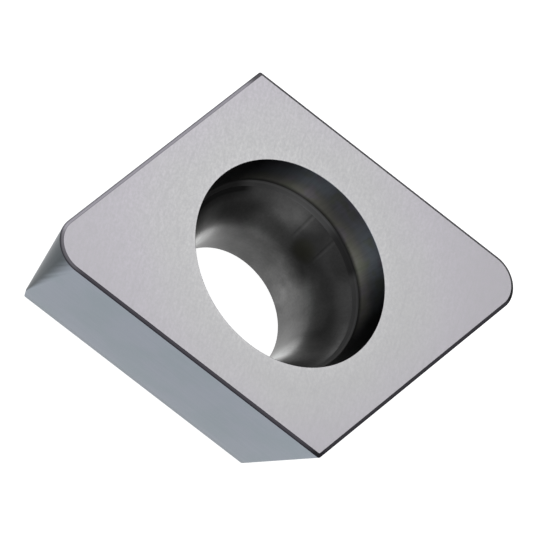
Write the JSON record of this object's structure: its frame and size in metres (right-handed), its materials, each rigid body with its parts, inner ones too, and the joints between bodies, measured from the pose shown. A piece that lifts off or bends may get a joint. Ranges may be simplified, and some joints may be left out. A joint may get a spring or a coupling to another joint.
{
  "type": "carbide insert",
  "caption": "Rhombic sintered carbide cutting insert with rounded noses, a chamfered cutting edge, inward-leaning flanks and a countersunk screw hole.",
  "frame": {"origin": "where the screw hole's axis meets the bottom face", "axes": "+Z along the screw hole out of the flat top face, +X along the long diagonal towards a rounded nose, +Y along the short diagonal"},
  "size_m": [0.0126, 0.0096, 0.0032],
  "materials": {
    "carbide": "ground tungsten carbide, satin top and flanks, dark land and hole"
  },
  "bodies": {
    "root": {"insert": "carbide"}
  },
  "joints": []
}
